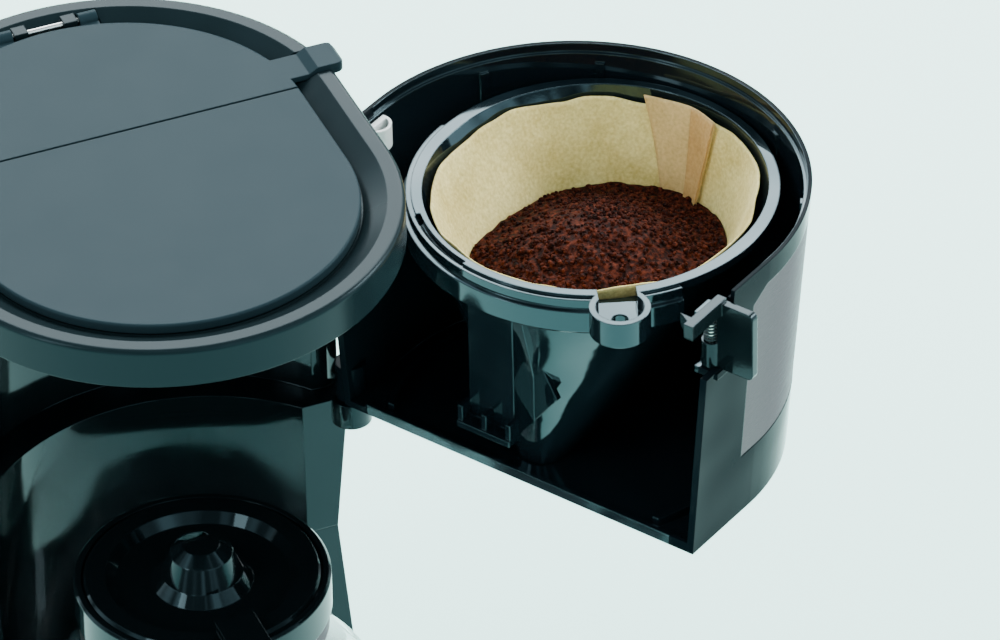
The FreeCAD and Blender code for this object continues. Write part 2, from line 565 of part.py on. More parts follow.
lid = panel_body(LID_SPLIT_Y + split, 2 * CAP_R)
tab_z0 = CAP_TOP - 2.2
tab_z1 = CAP_TOP + 1.4
tab_end = CAP_R + TAB_REACH
tab = outline([(panel_r - 6, TAB_Y0, panel_low), (panel_r - 6, TAB_Y0, panel_top),
               (CAP_R - 8, TAB_Y0, panel_top), (CAP_R - 5, TAB_Y0, tab_z1), (tab_end - 1, TAB_Y0, tab_z1),
               (tab_end, TAB_Y0, tab_z1 - 1), (tab_end, TAB_Y0, tab_z0),
               (panel_r, TAB_Y0, tab_z0)], (0, TAB_Y1 - TAB_Y0, 0))
tab = tab.makeFillet(3.0, [e for e in tab.Edges if e.BoundBox.XMin > tab_end - 0.1
                           and e.BoundBox.ZLength > 1.0 and e.BoundBox.YLength < 0.1])
arms = []
for x0 in (-17.2, 11.2):
    knuckle = rod(KNUCKLE_SIDE, (x0, LID_AXIS_Y, LID_AXIS_Z), (x0 + 6.0, LID_AXIS_Y, LID_AXIS_Z))
    reach = box(x0, x0 + 6.0, CAP_HALF + panel_r - 8, LID_AXIS_Y, panel_low, LID_AXIS_Z)
    arms.append(knuckle.fuse(reach))
lid = joined([lid, tab] + arms)
lid = lid.cut(rod(LID_PIN_R + RUN, (-18, LID_AXIS_Y, LID_AXIS_Z), (18, LID_AXIS_Y, LID_AXIS_Z)))
keep("tank_lid", lid)
keep("lid_hinge_pin", rod(LID_PIN_R, (-17.5, LID_AXIS_Y, LID_AXIS_Z), (17.5, LID_AXIS_Y, LID_AXIS_Z)))

# --- Wiring and tower screws -----------------------------------------------------------
BLOCK_X = -40.0
BLOCK_Y = 30.0
block = box(BLOCK_X - 12, BLOCK_X + 12, BLOCK_Y - 7, BLOCK_Y + 7, cover_z + GAP, cover_z + 10)
for i in range(3):
    block = block.cut(cylinder(2.0, BLOCK_X - 7 + 7 * i, BLOCK_Y, cover_z + 4, cover_z + 11))
keep("terminal_block", block)
WIRE_R = 1.2
wire_z = cover_z + 5.5


def wire(points):
    """One insulated lead: a solid round bar along its route."""
    return tube(points, WIRE_R, None, 4.0)


block_front = BLOCK_Y - 7 - GAP
leads = []
for i, tag_x in enumerate((-6.0, 6.0)):
    block_x = BLOCK_X + 3 + 5 * i
    turn_y = block_front - 14 - 6 * i
    leads.append(wire([(block_x, block_front, wire_z), (block_x, turn_y, wire_z), (tag_x * 2, turn_y, wire_z),
                       (tag_x * 2, bezel_back + 22, wire_z), (tag_x, bezel_back + 17, wire_z + 4),
                       (tag_x, bezel_back + 16.5 - 4, wire_z + 4)]))
keep("internal_wires", *leads)
tower_screws = [screw(x, y, cap_under + WALL, 12.0, head_r=2.8) for x, y in cap_screw_spots]
keep("tower_screws", *tower_screws)

# --- Filter holder, drawn closed ------------------------------------------------------
holder_low_r = HOLDER_R - HOLDER_TAPER


def holder_body(inset, z0, z1):
    """The holder's U-shaped outline between two heights, tapering towards its floor."""
    def radius(z):
        return holder_low_r + HOLDER_TAPER * (z - HOLDER_FLOOR) / (HOLDER_TOP - HOLDER_FLOOR) - inset
    length = HOLDER_OPEN_Y - HOLDER_Y
    mid = HOLDER_Y + length / 2 + 40
    body = tapered(radius(z0), radius(z1), length / 2 + 40, mid, z0, z1)
    return body.cut(box(-CAP_R * 2, CAP_R * 2, HOLDER_OPEN_Y, 4 * CAP_R, z0 - 1, z1 + 1))


REBATE = 1.0
REBATE_DEPTH = 3.0
HOLDER_WALL = 2.4
floor_top = HOLDER_FLOOR + HOLDER_WALL
holder = holder_body(0, HOLDER_FLOOR, HOLDER_TOP)
holder = holder.cut(holder_body(HOLDER_WALL, floor_top, HOLDER_TOP + 1))
holder = holder.cut(holder_body(HOLDER_WALL - REBATE, HOLDER_TOP - REBATE_DEPTH, HOLDER_TOP + 1))
holder = holder.cut(box(-CAP_R, CAP_R, HOLDER_OPEN_Y - 0.01, HOLDER_OPEN_Y + 60, floor_top, HOLDER_TOP + 2))

PANEL_T = 0.8              # steel panel
STEEL_LOW = RIM_TOP - 63.5
STEEL_TOP = RIM_TOP + 1.5
STEEL_BACK_Y = -13.4
steel_cut = holder_body(-1, STEEL_LOW, STEEL_TOP).cut(holder_body(PANEL_T, STEEL_LOW - 1, STEEL_TOP + 1))
steel_cut = steel_cut.common(box(-CAP_R * 2, CAP_R * 2, -CAP_R * 3, STEEL_BACK_Y, 0, CAP_TOP))
steel_low = STEEL_LOW + 0.15
steel_high = STEEL_TOP - 0.15
steel = holder_body(0.1, steel_low, steel_high)
steel = steel.cut(holder_body(PANEL_T - 0.1, steel_low - 1, steel_high + 1))
steel = steel.common(box(-CAP_R * 2, CAP_R * 2, -CAP_R * 3, STEEL_BACK_Y - 0.15, 0, CAP_TOP))
STEEL_CORNER = 9.0
for x in (-2 * CAP_R, 0.0):
    corner = outline([(x, STEEL_BACK_Y + 1, STEEL_TOP + 1), (x, STEEL_BACK_Y - STEEL_CORNER, STEEL_TOP + 1),
                      (x, STEEL_BACK_Y + 1, STEEL_TOP - STEEL_CORNER * 0.6)], (2 * CAP_R, 0, 0))
    steel = steel.cut(corner)
    steel_cut = steel_cut.cut(corner.translated(V(0, 0.15, 0.15)))
holder = holder.cut(steel_cut)
keep_holder("steel_panel", steel)

hinge_knuckles = [cylinder(KNUCKLE_R, HINGE_X, HINGE_Y, HOLDER_FLOOR, HOLDER_FLOOR + 13),
                  cylinder(KNUCKLE_R, HINGE_X, HINGE_Y, HOLDER_TOP - 14, HOLDER_TOP)]
BUSH_R = 3.2
lever_x = -(HOLDER_R - 6.0)
lever_y = 2.0
BARREL_R = 3.2
LEVER_PIN_R = 1.4
LEVER_HIGH = RIM_TOP + 8.6
LEVER_LOW = RIM_TOP - 17.0
lever_lugs = [box(-(HOLDER_R - 1.5), lever_x + 4.0, lever_y - 4.0, lever_y + 3.5, z0, z0 + 2.4)
              for z0 in (LEVER_LOW - 3.2, RIM_TOP + 0.4)]
RIB_REACH = 3.7
rib_spots = (-32.0, -62.0, -118.0, -148.0)
ribs = []
for angle in rib_spots:
    rib = box(HOLDER_R - RIB_REACH, HOLDER_R, -1.4, 1.4, RIM_TOP - 12, RIM_TOP + 4)
    rib.rotate(V(0, 0, 0), UP, angle)
    rib.translate(V(0, HOLDER_Y, 0))
    ribs.append(rib.common(holder_body(HOLDER_WALL - 0.3, RIM_TOP - 30, HOLDER_TOP)))
step = stadium(holder_low_r - HOLDER_WALL - 6, 1.0, HOLDER_Y, floor_top - 0.1, floor_top + 3)
step = step.cut(stadium(holder_low_r - HOLDER_WALL - 8, 1.0, HOLDER_Y, floor_top - 1, floor_top + 4))
step = step.common(box(-CAP_R, CAP_R, -3 * CAP_R, HOLDER_OPEN_Y - 3, 0, CAP_TOP))
sill = box(-holder_low_r + 2, holder_low_r - 8, HOLDER_OPEN_Y - 1.6, HOLDER_OPEN_Y, floor_top - 0.1, floor_top + 1.2)
holder = joined([holder] + hinge_knuckles + lever_lugs + ribs + [step, sill])
holder = holder.cut(cylinder(BUSH_R, HINGE_X, HINGE_Y, HOLDER_FLOOR - 1, HOLDER_FLOOR + 11))
holder = holder.cut(cylinder(BUSH_R, HINGE_X, HINGE_Y, HOLDER_TOP - 12, HOLDER_TOP + 1))
TIP_HOLE_R = 7.0
holder = holder.cut(cylinder(TIP_HOLE_R, 0, BASKET_Y, HOLDER_FLOOR - 1, floor_top + 1))
holder = holder.cut(cylinder(LEVER_PIN_R, lever_x, lever_y, LEVER_LOW - 4, RIM_TOP + 4))
wall_slot = box(-2 * CAP_R, lever_x - 1.0, lever_y - BARREL_R - GAP, HOLDER_OPEN_Y + 1, LEVER_LOW - GAP, HOLDER_TOP + 1)
holder = holder.cut(wall_slot)
keep_holder("filter_holder", holder)

bushes = []
for z0, z1 in ((HOLDER_FLOOR, HOLDER_FLOOR + 11), (HOLDER_TOP - 12, HOLDER_TOP)):
    bushes.append(ring(BUSH_R, PIN_R + RUN, HINGE_X, HINGE_Y, z0, z1))
keep_holder("hinge_bushes", *bushes)
keep("swing_hinge_pins", cylinder(PIN_R, HINGE_X, HINGE_Y, lower_pin_from, HOLDER_FLOOR + 11),
     cylinder(PIN_R, HINGE_X, HINGE_Y, HOLDER_TOP - 12, pin_top))

clip = cylinder(5.0, HOLDER_R - HOLDER_WALL - 2.4, -14.0, RIM_TOP - 1, RIM_TOP + 7)
clip = clip.common(box(0, HOLDER_R - HOLDER_WALL - 2.2, -20, -8, 0, CAP_TOP))
clip = clip.cut(cylinder(4.0, HOLDER_R - HOLDER_WALL - 2.4, -14.0, RIM_TOP, CAP_TOP))
clip = clip.fuse(box(HOLDER_R - HOLDER_WALL - 3.4, HOLDER_R - HOLDER_WALL - 1.4, -19, -9, RIM_TOP - 1, RIM_TOP + 7))
keep_holder("hinge_clip", clip)

# Release lever: an upright grip outside the wall, a pivot barrel and a hook that reaches back.
GRIP_OUT = 10.0
GRIP_T = 2.6
SPRING_ROOM = 8.0
barrel = cylinder(BARREL_R, lever_x, lever_y, LEVER_LOW, RIM_TOP - SPRING_ROOM)
grip_y0 = lever_y - GRIP_T / 2
grip_top = LEVER_HIGH - 1.0
grip = box(-HOLDER_R - GRIP_OUT, lever_x, grip_y0, grip_y0 + GRIP_T, LEVER_LOW, RIM_TOP)
grip = grip.fuse(box(-HOLDER_R - GRIP_OUT, lever_x - 2.0, grip_y0, grip_y0 + GRIP_T, RIM_TOP - 1, grip_top))
grip = grip.makeFillet(2.0, [e for e in grip.Edges if e.BoundBox.XMax < -HOLDER_R - GRIP_OUT + 0.1
                             and e.BoundBox.YLength > 1.0])
hook_arm = box(lever_x - 4.6, lever_x - 1.4, grip_y0, HOLDER_OPEN_Y + 8.6, RIM_TOP + 3.4, LEVER_HIGH)
hook_barb = outline([(lever_x - 4.6, HOLDER_OPEN_Y + 8.6, RIM_TOP + 3.4),
                     (lever_x + 2.6, HOLDER_OPEN_Y + 4.4, RIM_TOP + 3.4),
                     (lever_x - 1.5, HOLDER_OPEN_Y + 4.4, RIM_TOP + 3.4),
                     (lever_x - 4.6, HOLDER_OPEN_Y + 4.4, RIM_TOP + 3.4)], (0, 0, LEVER_HIGH - RIM_TOP - 3.4))
lever = joined([barrel, grip, hook_arm, hook_barb])
lever = lever.cut(cylinder(3.0, lever_x, lever_y, RIM_TOP - SPRING_ROOM, RIM_TOP + 3.2))
lever = lever.cut(cylinder(LEVER_PIN_R + RUN, lever_x, lever_y, LEVER_LOW - 1, RIM_TOP + 1))
keep_holder("release_lever", lever)
keep_holder("lever_pin", cylinder(LEVER_PIN_R, lever_x, lever_y, LEVER_LOW - 3.2, RIM_TOP + 2.8))
keep_holder("lever_spring", coil(lever_x, lever_y, RIM_TOP - SPRING_ROOM + 0.1, RIM_TOP, 2.2, 0.35, 6))

# --- Filter basket, drawn in the closed holder ----------------------------------------
cone_top = RIM_TOP - 3.0
skirt_low = floor_top + 0.4
basket_floor = CONE_BOTTOM + 4.0


def cone_body(inset, z0, z1):
    """The basket's wedge: round at the rim and a narrow slot at the bottom."""
    share0 = (z0 - skirt_low) / (cone_top - skirt_low)
    share1 = (z1 - skirt_low) / (cone_top - skirt_low)
    def section(share, z):
        radius = CONE_FOOT_R + (CONE_TOP_R - CONE_FOOT_R) * share - inset
        return stadium_wire(radius, CONE_HALF + (CONE_TOP_HALF - CONE_HALF) * share, BASKET_Y, z)
    return Part.makeLoft([section(share0, z0), section(share1, z1)], True, True)


cone = cone_body(0, skirt_low, cone_top)
rim = cylinder(RIM_R, 0, BASKET_Y, cone_top, RIM_TOP)
band_low = RIM_TOP - BAND_DEPTH
band = turned([(CONE_TOP_R - 8, band_low + 2), (BAND_R - 1.6, band_low), (BAND_R, band_low + 1.6),
               (BAND_R, RIM_TOP - 4.6), (BAND_R - 1.4, RIM_TOP - 4.2), (BAND_R - 1.4, RIM_TOP - 0.8),
               (CONE_TOP_R - 8, RIM_TOP - 0.8)], 0, BASKET_Y, 152.0)
slot = turned([(RIM_R - 1.4, RIM_TOP - 2.5), (BAND_R - 2.6, RIM_TOP - 2.5), (BAND_R - 2.6, RIM_TOP + 1),
               (RIM_R - 1.4, RIM_TOP + 1)], 0, BASKET_Y, 30.0)
slot.rotate(V(0, BASKET_Y, 0), UP, 50.0)
rim = rim.cut(slot)
band = band.cut(slot)
lug_x = LUG_REACH * math.cos(math.radians(LUG_ANGLE))
lug_y = BASKET_Y + LUG_REACH * math.sin(math.radians(LUG_ANGLE))
lug = cylinder(LUG_R, lug_x, lug_y, RIM_TOP - 9, RIM_TOP)
HANDLE_W = 17.0
HANDLE_BACK = BASKET_Y + 56.5
HANDLE_LOW = RIM_TOP - 60.0
handle_box = box(-HANDLE_W / 2, HANDLE_W / 2, BASKET_Y + 25, HANDLE_BACK, HANDLE_LOW, band_low + 1)
handle_box = handle_box.cut(box(-HANDLE_W / 2 + 2, HANDLE_W / 2 - 2, BASKET_Y + 20, HANDLE_BACK - 2,
                                HANDLE_LOW - 1, band_low - 2))
gusset = outline([(-HANDLE_W / 2, BASKET_Y + 44, band_low - 18), (-HANDLE_W / 2 - 9, BASKET_Y + 44, HANDLE_LOW + 12),
                  (-HANDLE_W / 2, BASKET_Y + 44, HANDLE_LOW)], (0, 2.0, 0))
LIP_OUT = 5.0
lip = box(-HANDLE_W / 2 - 1.5, HANDLE_W / 2 + 1.5, HANDLE_BACK - 1, HANDLE_BACK + LIP_OUT, HANDLE_LOW, HANDLE_LOW + 2.2)
lip_ribs = [box(x - 0.9, x + 0.9, HANDLE_BACK - 1, HANDLE_BACK + LIP_OUT - 0.6, HANDLE_LOW, HANDLE_LOW + 8)
            for x in (-HANDLE_W / 2 - 0.6, 0.0, HANDLE_W / 2 + 0.6)]
basket = joined([cone, rim, band, lug, handle_box, gusset, lip] + lip_ribs)
basket = basket.cut(cone_body(BASKET_WALL, basket_floor, RIM_TOP + 1))
lug_pocket = cylinder(LUG_R - 2, lug_x, lug_y, RIM_TOP - 5, RIM_TOP + 1)
lug_mouth = box(0, 14.0, -(LUG_R - 3.5), LUG_R - 3.5, RIM_TOP - 5, RIM_TOP + 1)
lug_mouth.rotate(V(0, 0, 0), UP, LUG_ANGLE + 180)
lug_mouth.translate(V(lug_x, lug_y, 0))
basket = basket.cut(lug_pocket).cut(lug_mouth).cut(cylinder(2.6, lug_x, lug_y, RIM_TOP - 10, RIM_TOP))
skirt_in = cone_body(BASKET_WALL, skirt_low - 1, CONE_BOTTOM)
basket = basket.cut(skirt_in)
CHAMBER_R = 4.4
chamber = ring(CHAMBER_R + 1.4, CHAMBER_R, 0, BASKET_Y, skirt_low + 1, CONE_BOTTOM + 0.5)
basket = basket.fuse(chamber)
OUTLET_R = 3.4
basket = basket.cut(cylinder(OUTLET_R, 0, BASKET_Y, CONE_BOTTOM - 1, basket_floor + 1))
keep_holder("filter_basket", basket)

guide_low = skirt_low + 1
stem_bore = STEM_R + RUN
keep_holder("valve_guide", ring(CHAMBER_R, stem_bore, 0, BASKET_Y, guide_low, guide_low + 1.5))
SEAL_T = 1.0
seal_low = basket_floor + 0.05
TIP_Z = HOLDER_FLOOR - 3.5
collar_z = guide_low + 2.2
stem = joined([cylinder(STEM_R, 0, BASKET_Y, TIP_Z + 1, seal_low + SEAL_T + 1.6),
               Part.makeCone(STEM_R - 1, STEM_R, 1.0, V(0, BASKET_Y, TIP_Z)),
               cylinder(CHAMBER_R - 0.3, 0, BASKET_Y, collar_z, collar_z + 0.8),
               cylinder(OUTLET_R + 1.6, 0, BASKET_Y, seal_low + SEAL_T, seal_low + SEAL_T + 1.2)])
keep_holder("drip_valve", stem)
keep_holder("valve_seal", ring(OUTLET_R + 1.6, STEM_R, 0, BASKET_Y, seal_low, seal_low + SEAL_T))
keep_holder("valve_spring", coil(0, BASKET_Y, collar_z + 0.85, CONE_BOTTOM - 0.05, 3.2, 0.4, 3))

PAPER_ROOM = 0.5
paper_low = seal_low + SEAL_T + 5.4
paper_top = RIM_TOP + 3.0
paper = cone_body(BASKET_WALL + PAPER_ROOM, paper_low, paper_top)
paper = paper.cut(cone_body(BASKET_WALL + PAPER_ROOM + PAPER, paper_low + PAPER, paper_top + 1))
keep_holder("paper_filter", paper)
COFFEE_EDGE = RIM_TOP - 31.0
COFFEE_PEAK = RIM_TOP - 12.0
grounds = cone_body(BASKET_WALL + PAPER_ROOM + PAPER + 0.3, paper_low + PAPER + 0.3, COFFEE_PEAK + 1)
mound = turned([(0, paper_low), (CONE_TOP_R, paper_low), (CONE_TOP_R, COFFEE_EDGE), (40, COFFEE_EDGE + 3),
                (22, COFFEE_PEAK - 4), (8, COFFEE_PEAK), (0, COFFEE_PEAK)], 0, BASKET_Y)
keep_holder("coffee_grounds", grounds.common(mound))

# --- Carafe ---------------------------------------------------------------------------
def glass_curve(inset, points):
    curve = Part.BSplineCurve()
    curve.interpolate([V(r - inset, CARAFE_Y, z) for r, z in points])
    return curve.toShape()


carafe_low = PLATE_TOP + 0.3
belly = carafe_low + 36.0
glass_points = [(CARAFE_R - 9, carafe_low + 3), (CARAFE_R - 1.5, carafe_low + 18), (CARAFE_R, belly),
                (CARAFE_R - 6, belly + 24), (CARAFE_NECK_R + 4, CARAFE_TOP - 25),
                (CARAFE_NECK_R, CARAFE_TOP - 15), (CARAFE_NECK_R, CARAFE_TOP)]
foot_r = CARAFE_R - 13


def glass_body(inset, low, top):
    neck = CARAFE_NECK_R - inset
    floor_r = foot_r - inset
    start = V(CARAFE_R - 9 - inset, CARAFE_Y, carafe_low + 3)
    straight = [(V(0, CARAFE_Y, low), V(floor_r, CARAFE_Y, low)), (V(floor_r, CARAFE_Y, low), start),
                (V(neck, CARAFE_Y, CARAFE_TOP), V(neck, CARAFE_Y, top)),
                (V(neck, CARAFE_Y, top), V(0, CARAFE_Y, top)), (V(0, CARAFE_Y, top), V(0, CARAFE_Y, low))]
    edges = [Part.LineSegment(a, b).toShape() for a, b in straight]
    face = Part.Face(Part.Wire(Part.__sortEdges__(edges + [glass_curve(inset, glass_points)])))
    return face.revolve(V(0, CARAFE_Y, 0), UP, 360)


glass = glass_body(0, carafe_low, CARAFE_TOP + 0.2).cut(glass_body(GLASS, carafe_low + GLASS, CARAFE_TOP + 2))
keep("carafe_glass", glass)

collar_low = CARAFE_TOP - 7.0
collar = turned([(CARAFE_NECK_R + 0.2, collar_low), (COLLAR_R - 0.8, collar_low), (COLLAR_R, collar_low + 0.8),
                 (COLLAR_R, COLLAR_TOP - 0.8), (COLLAR_R - 0.8, COLLAR_TOP), (COLLAR_R - 2.6, COLLAR_TOP),
                 (COLLAR_R - 2.6, CARAFE_TOP + 0.2), (CARAFE_NECK_R + 0.2, CARAFE_TOP + 0.2)], 0, CARAFE_Y)
band_ring = ring(CARAFE_NECK_R + 1.4, CARAFE_NECK_R + 0.4, 0, CARAFE_Y, collar_low - 7, collar_low - 0.2)
HANDLE_OUT = 58.0
half_w = HANDLE_WIDTH / 2
neck_front = CARAFE_Y - COLLAR_R
bow = neck_front - HANDLE_OUT
handle_top = COLLAR_TOP - 3.5
LID_EAR_Y = neck_front - 12.0
handle = outline([(-half_w, neck_front + 3, handle_top), (-half_w, bow + 14, handle_top),
                  (-half_w, bow + 4, handle_top - 6), (-half_w, bow, handle_top - 18),
                  (-half_w, bow + 10, carafe_low + 22), (-half_w, bow + 22, carafe_low + 20),
                  (-half_w, bow + 15, handle_top - 24), (-half_w, bow + 22, handle_top - 15),
                  (-half_w, neck_front + 3, handle_top - 15)], (HANDLE_WIDTH, 0, 0))
handle = handle.makeFillet(3.5, [e for e in handle.Edges if e.BoundBox.YMax < neck_front - 4
                                 and e.BoundBox.XLength < 0.1])
handle = handle.cut(cylinder(COLLAR_R + 0.1, 0, CARAFE_Y, collar_low - 20, COLLAR_TOP + 5))
LID_PIN = 1.5
lid_axis_z = COLLAR_TOP + 1.0
ears = [box(x0, x0 + 3.0, LID_EAR_Y - 3.5, LID_EAR_Y + 3.5, handle_top - 1, lid_axis_z + 3)
        for x0 in (-half_w, half_w - 3.0)]
handle = joined([handle] + ears)
handle = handle.cut(rod(LID_PIN, (-half_w - 1, LID_EAR_Y, lid_axis_z), (half_w + 1, LID_EAR_Y, lid_axis_z)))
screw_z = handle_top - 12.2
screw_span = ((0, CARAFE_Y - CARAFE_NECK_R - 1.5, screw_z), (0, neck_front - 8, screw_z))
band_screw = rod(1.5, *screw_span)
handle = handle.cut(band_screw)
keep("carafe_collar", collar)
keep("carafe_band", band_ring)
keep("carafe_handle", handle)
keep("lid_pin", rod(LID_PIN, (-half_w - 0.5, LID_EAR_Y, lid_axis_z), (half_w + 0.5, LID_EAR_Y, lid_axis_z)))

lid_r = COLLAR_R - 2.6 - GAP
lid_low = CARAFE_TOP + 0.8
DOME_R = 13.0
DOME_TOP = HOLDER_FLOOR - 5.0
carafe_lid = turned([(0, lid_low), (lid_r - 2.5, lid_low), (lid_r, lid_low + 2), (lid_r, COLLAR_TOP - 0.4),
                     (lid_r - 1, COLLAR_TOP + 0.6), (lid_r - 7, COLLAR_TOP + 0.6), (lid_r - 10, COLLAR_TOP - 2.6),
                     (DOME_R + 3, COLLAR_TOP - 2.6), (DOME_R, COLLAR_TOP + 1), (DOME_R - 3, DOME_TOP - 3),
                     (DOME_R - 7, DOME_TOP), (0, DOME_TOP)], 0, CARAFE_Y)
under = turned([(0, lid_low - 1), (lid_r - 4.5, lid_low - 1), (lid_r - 4.5, lid_low + 2), (DOME_R, lid_low + 2),
                (DOME_R - 5, DOME_TOP - 4), (0, DOME_TOP - 2)], 0, CARAFE_Y)
carafe_lid = carafe_lid.cut(under)
drip_hole = outline([(-5, CARAFE_Y + 2, DOME_TOP - 5), (5, CARAFE_Y + 2, DOME_TOP - 5),
                     (7, CARAFE_Y + 9, DOME_TOP - 5), (-7, CARAFE_Y + 9, DOME_TOP - 5)], (0, 0, 10))
carafe_lid = carafe_lid.cut(drip_hole)
thumb_w = half_w - 3.0 - GAP
thumb = box(-thumb_w, thumb_w, LID_EAR_Y - 2, neck_front + 12, COLLAR_TOP + 0.1, COLLAR_TOP + 3.2)
thumb = thumb.fuse(rod(3.0, (-thumb_w, LID_EAR_Y, lid_axis_z), (thumb_w, LID_EAR_Y, lid_axis_z)))
thumb = thumb.cut(box(-half_w, half_w, LID_EAR_Y - 10, neck_front + 3, handle_top - 9, handle_top + GAP))
carafe_lid = joined([carafe_lid, thumb])
carafe_lid = carafe_lid.cut(rod(LID_PIN + RUN, (-half_w, LID_EAR_Y, lid_axis_z), (half_w, LID_EAR_Y, lid_axis_z)))
keep("carafe_lid", carafe_lid)
keep("band_screw", band_screw)

# --- Open the filter holder and write the files ---------------------------------------
for name in holder_nodes:
    nodes[name].rotate(V(HINGE_X, HINGE_Y, 0), UP, SWING_OPEN)

os.makedirs("parts", exist_ok=True)
for name, shape in nodes.items():
    shape.exportStep("parts/" + name + ".step")
    print(name, len(shape.Solids), "solids", "valid" if shape.isValid() else "INVALID",
          "%.0f mm3" % shape.Volume)
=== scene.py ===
import json
import math
import random
import bmesh
import bpy
from mathutils import Matrix, Vector, noise


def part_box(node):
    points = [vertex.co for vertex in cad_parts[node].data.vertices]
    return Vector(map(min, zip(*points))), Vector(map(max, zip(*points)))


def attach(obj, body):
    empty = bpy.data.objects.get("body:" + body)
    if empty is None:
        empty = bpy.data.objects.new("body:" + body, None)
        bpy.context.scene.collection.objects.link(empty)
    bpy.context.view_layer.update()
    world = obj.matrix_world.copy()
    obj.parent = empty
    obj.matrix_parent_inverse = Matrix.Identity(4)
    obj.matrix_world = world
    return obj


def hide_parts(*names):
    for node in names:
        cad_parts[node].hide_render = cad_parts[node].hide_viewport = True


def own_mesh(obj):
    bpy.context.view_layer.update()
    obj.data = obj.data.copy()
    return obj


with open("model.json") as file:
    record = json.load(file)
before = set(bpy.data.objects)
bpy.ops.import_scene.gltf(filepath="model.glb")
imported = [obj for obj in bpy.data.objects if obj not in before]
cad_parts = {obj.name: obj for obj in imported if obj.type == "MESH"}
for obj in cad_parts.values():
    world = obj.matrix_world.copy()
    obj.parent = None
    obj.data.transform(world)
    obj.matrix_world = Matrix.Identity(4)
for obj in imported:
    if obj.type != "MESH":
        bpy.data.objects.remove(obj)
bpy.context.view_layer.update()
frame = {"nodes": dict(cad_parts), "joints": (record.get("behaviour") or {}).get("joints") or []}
nodes = frame["nodes"]

# --- Camera ---------------------------------------------------------------------------
# A long lens looks down at 37 degrees on the open holder, from over the machine's left front.
# It turns by a degree about its own line, as a camera on a tripod head does.
camera_data = bpy.data.cameras.new("camera")
camera_data.lens = 279.6
camera_data.sensor_width = 36.0
camera_data.clip_end = 30.0
camera = bpy.data.objects.new("camera", camera_data)
azimuth, elevation, roll = math.radians(-21.766), math.radians(36.956), math.radians(-1.188)
back = Vector((math.sin(azimuth) * math.cos(elevation), -math.cos(azimuth) * math.cos(elevation),
               math.sin(elevation)))
level = Vector((math.cos(azimuth), math.sin(azimuth), 0.0))
upright = back.cross(level)
across = level * math.cos(roll) + upright * math.sin(roll)
upward = upright * math.cos(roll) - level * math.sin(roll)
turn = Matrix((across, upward, back)).transposed().to_4x4()
camera.matrix_world = Matrix.Translation(Vector((-0.61521, -1.83856, 1.67626))) @ turn
bpy.context.scene.collection.objects.link(camera)
bpy.context.scene.camera = camera

# --- Floor and light ------------------------------------------------------------------
# A plain pale worktop that runs out of sight, under an even studio sky.
# A wide soft box stands behind the machine, a long one to its left and a small one to its right.
floor_mesh = bpy.data.meshes.new("floor")
floor_shape = bmesh.new()
bmesh.ops.create_grid(floor_shape, x_segments=1, y_segments=1, size=4.0)
floor_shape.to_mesh(floor_mesh)
floor_shape.free()
floor = bpy.data.objects.new("floor", floor_mesh)
bpy.context.scene.collection.objects.link(floor)
floor_paint = bpy.data.materials.new("pale_worktop")
floor_paint.use_nodes = True
floor_shader = floor_paint.node_tree.nodes["Principled BSDF"]
floor_shader.inputs["Base Color"].default_value = (0.88, 0.99, 0.95, 1)
floor_shader.inputs["Roughness"].default_value = 0.9
floor_shader.inputs["Specular IOR Level"].default_value = 0.1
floor_shader.inputs["Emission Color"].default_value = (0.25, 1.0, 0.85, 1)
floor_shader.inputs["Emission Strength"].default_value = 1.3
floor_mesh.materials.append(floor_paint)

world = bpy.data.worlds.new("studio_sky")
bpy.context.scene.world = world
world.use_nodes = True
sky_tree = world.node_tree
sky_tree.nodes["Background"].inputs["Color"].default_value = (0.76, 0.94, 1.0, 1)
sky_place = sky_tree.nodes.new("ShaderNodeTexCoord")
sky_drift = sky_tree.nodes.new("ShaderNodeTexNoise")
sky_drift.inputs["Scale"].default_value = 1.7
sky_drift.inputs["Detail"].default_value = 1.0
sky_drift.inputs["Distortion"].default_value = 1.2
sky_power = sky_tree.nodes.new("ShaderNodeMapRange")
sky_power.inputs["From Min"].default_value = 0.40
sky_power.inputs["From Max"].default_value = 0.62
sky_power.inputs["To Min"].default_value = 0.35
sky_power.inputs["To Max"].default_value = 2.9
sky_tree.links.new(sky_place.outputs["Generated"], sky_drift.inputs["Vector"])
sky_tree.links.new(sky_drift.outputs["Fac"], sky_power.inputs["Value"])
sky_tree.links.new(sky_power.outputs["Result"], sky_tree.nodes["Background"].inputs["Strength"])


def soft_box(name, place, target, width, height, power):
    lamp = bpy.data.lights.new(name, "AREA")
    lamp.shape = "RECTANGLE"
    lamp.size, lamp.size_y, lamp.energy = width, height, power
    stand = bpy.data.objects.new(name, lamp)
    aim = (Vector(target) - Vector(place)).to_track_quat("-Z", "Y")
    stand.matrix_world = Matrix.Translation(Vector(place)) @ aim.to_matrix().to_4x4()
    bpy.context.scene.collection.objects.link(stand)


soft_box("back_box", (0.75, 1.9, 1.75), (0.05, 0.0, 0.2), 2.6, 1.5, 105)
soft_box("left_box", (-1.5, -0.5, 1.2), (0.05, 0.0, 0.2), 0.4, 1.4, 14)
soft_box("right_box", (1.7, -0.1, 1.3), (0.1, -0.05, 0.25), 0.6, 0.6, 32)


# --- Base -----------------------------------------------------------------------------
# Glossy black moulded shell with a matt cover screwed on underneath, on five rubber feet.
# The gloss has the slow waves and faint haze of a large moulding.
def new_finish(name, colour, roughness, metallic=0.0):
    """A new material, its node tree and its shader."""
    material = bpy.data.materials.new(name)
    material.use_nodes = True
    tree = material.node_tree
    shader = tree.nodes["Principled BSDF"]
    shader.inputs["Base Color"].default_value = (*colour, 1)
    shader.inputs["Roughness"].default_value = roughness
    shader.inputs["Metallic"].default_value = metallic
    return material, tree, shader


